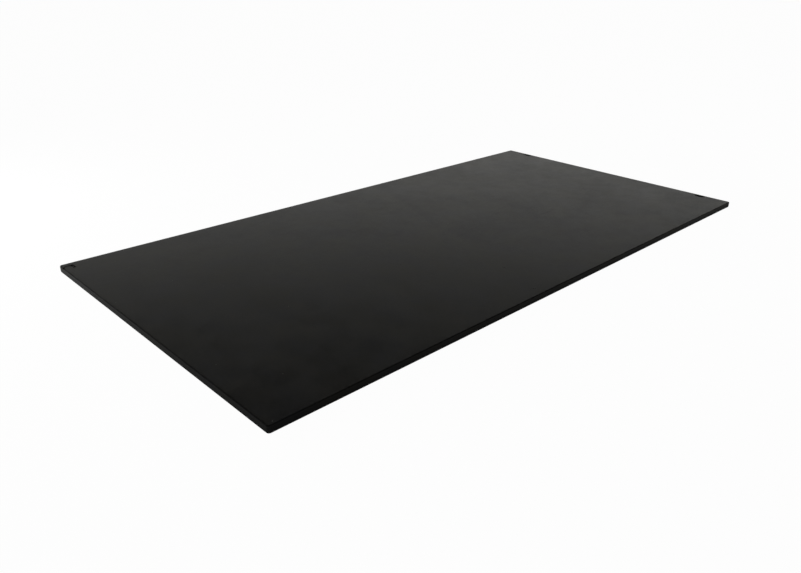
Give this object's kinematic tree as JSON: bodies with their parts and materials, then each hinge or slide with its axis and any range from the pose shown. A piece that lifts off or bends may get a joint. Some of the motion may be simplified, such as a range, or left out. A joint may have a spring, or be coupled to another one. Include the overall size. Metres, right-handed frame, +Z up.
{
  "type": "seedling heat mat",
  "caption": "Flat black rubber heat mat for seed trays, with a heating cable sealed inside, a capped corner socket for its lead and fixing slots at one end.",
  "frame": {"origin": "under the middle of the mat, on the plane it rests on", "axes": "+X along the mat towards the end with the fixing slots, +Y across it towards the side with the socket, +Z up"},
  "size_m": [1.22, 0.61, 0.011],
  "materials": {
    "black_rubber": "satin",
    "black_nylon": "satin",
    "grey_seal": "matte",
    "white_foam": "matte",
    "glass_cloth": "matte",
    "aluminium": "satin",
    "red_silicone": "satin",
    "resistance_wire": "satin",
    "brass": "satin",
    "steel": "polished",
    "bimetal": "satin",
    "brown_wire": "gloss",
    "blue_wire": "gloss",
    "green_wire": "gloss",
    "tan_plastic": "matte",
    "clear_sleeve": "satin",
    "silver_plate": "satin"
  },
  "bodies": {
    "mat": {"top_cover": "black_rubber", "base_cover": "black_rubber", "rim_seal": "grey_seal", "rating_plate": "silver_plate", "slot_liner_back": "black_nylon", "slot_liner_front": "black_nylon", "insulation_sheet": "white_foam", "element_carrier": "glass_cloth", "heat_spreader": "aluminium", "heating_core": "resistance_wire", "heating_cable_jacket": "red_silicone", "socket_body": "black_nylon", "socket_seal": "grey_seal", "contact_live": "brass", "contact_neutral": "brass", "contact_earth": "brass", "cap_hinge_pin": "steel", "junction_tray": "tan_plastic", "junction_lid": "tan_plastic", "splice_barrel_live": "brass", "splice_barrel_neutral": "brass", "splice_sleeve_live": "clear_sleeve", "splice_sleeve_neutral": "clear_sleeve", "cutout_case": "tan_plastic", "cutout_lid": "tan_plastic", "cutout_input_terminal": "brass", "cutout_output_terminal": "brass", "cutout_rivet": "steel", "live_lead": "brown_wire", "neutral_lead": "blue_wire", "earth_lead": "green_wire", "cutout_link_lead": "brown_wire", "earth_lug": "brass", "earth_rivet": "steel", "fixing_tape_1": "glass_cloth", "fixing_tape_2": "glass_cloth", "fixing_tape_3": "glass_cloth", "fixing_tape_4": "glass_cloth", "fixing_tape_5": "glass_cloth"},
    "cap": {"socket_cap": "black_rubber", "cap_gasket": "grey_seal"},
    "arm": {"cutout_arm": "bimetal"}
  },
  "joints": [
    {"name": "cap_hinge", "type": "hinge", "parent": "mat", "child": "cap", "pos_m": [-0.5935, 0.286, 0.00925], "axis": [0, 1, 0], "range_deg": [0, 110]},
    {"name": "cutout_hinge", "type": "hinge", "parent": "mat", "child": "arm", "pos_m": [-0.5604, 0.2775, 0.0053], "axis": [0, -1, 0], "range_deg": [0, 3]}
  ]
}
